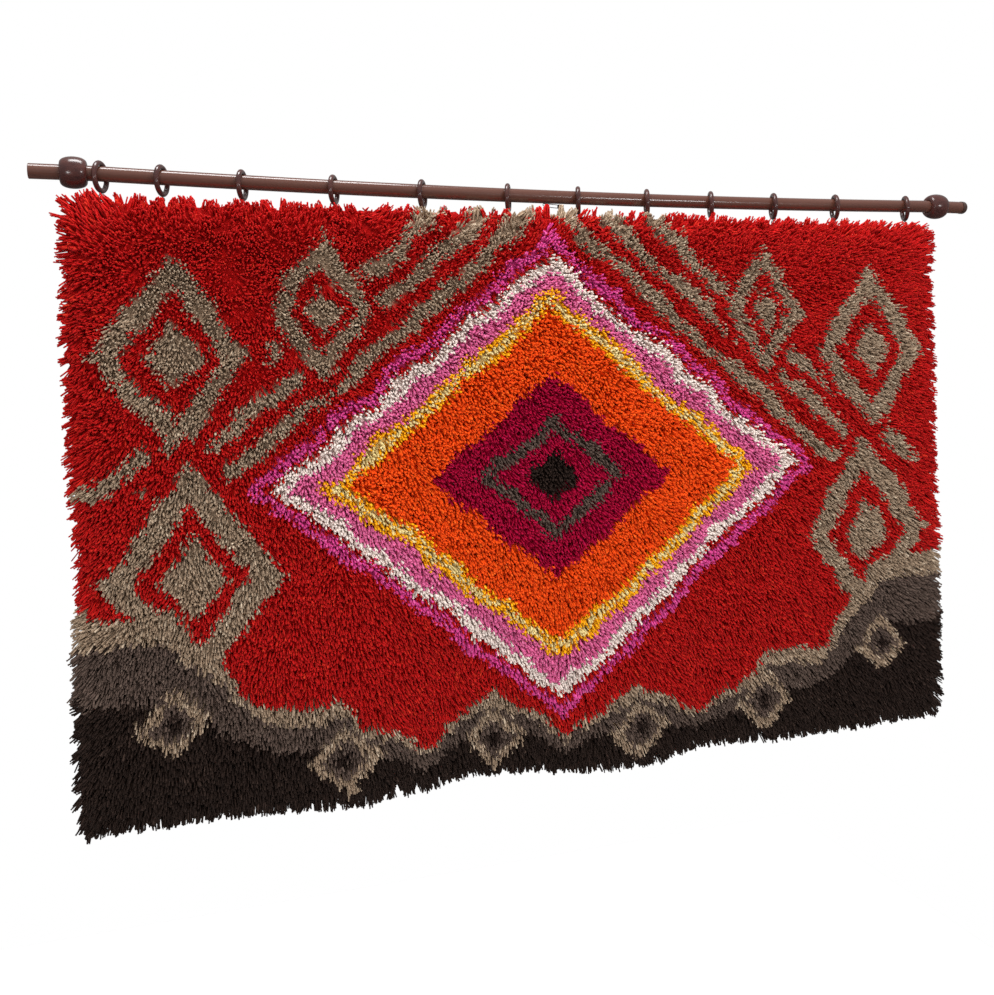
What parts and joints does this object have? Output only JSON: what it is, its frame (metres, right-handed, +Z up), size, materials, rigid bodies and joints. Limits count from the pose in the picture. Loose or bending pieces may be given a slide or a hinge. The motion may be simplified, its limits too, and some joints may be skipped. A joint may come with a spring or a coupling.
{
  "type": "wall rug on a curtain rod",
  "caption": "Shag wall rug with a thick knotted pile, hung by rings and small wire hooks from a brown curtain rod with finials, to be held on wall brackets.",
  "frame": {"origin": "midway between the centres of the rod's two ends, which wall brackets hold level; the rod's middle sags 9 mm below it", "axes": "+X along the rod, +Z up, the rug faces -Y and the wall is towards +Y"},
  "size_m": [1.64, 0.0762, 0.9881],
  "materials": {
    "pile": "matt cut yarn in red with other colours",
    "rod_brown": "satin brown",
    "ring_brown": "glossy mahogany stain",
    "wire": "darkened wire"
  },
  "bodies": {
    "root": {"rug": "pile", "rod": "rod_brown", "rod_cap": "rod_brown", "finial_left": "ring_brown", "finial_right": "ring_brown", "ring_01": "ring_brown", "ring_02": "ring_brown", "ring_03": "ring_brown", "ring_04": "ring_brown", "ring_05": "ring_brown", "ring_06": "ring_brown", "ring_07": "ring_brown", "ring_08": "ring_brown", "ring_09": "ring_brown", "ring_10": "ring_brown", "ring_11": "ring_brown", "ring_12": "ring_brown", "eye_01": "wire", "eye_02": "wire", "eye_03": "wire", "eye_04": "wire", "eye_05": "wire", "eye_06": "wire", "eye_07": "wire", "eye_08": "wire", "eye_09": "wire", "eye_10": "wire", "eye_11": "wire", "eye_12": "wire", "hook_01": "wire", "hook_02": "wire", "hook_03": "wire", "hook_04": "wire", "hook_05": "wire", "hook_06": "wire", "hook_07": "wire", "hook_08": "wire", "hook_09": "wire", "hook_10": "wire", "hook_11": "wire", "hook_12": "wire", "pin_wire": "wire", "pin_clasp": "wire"}
  },
  "joints": []
}
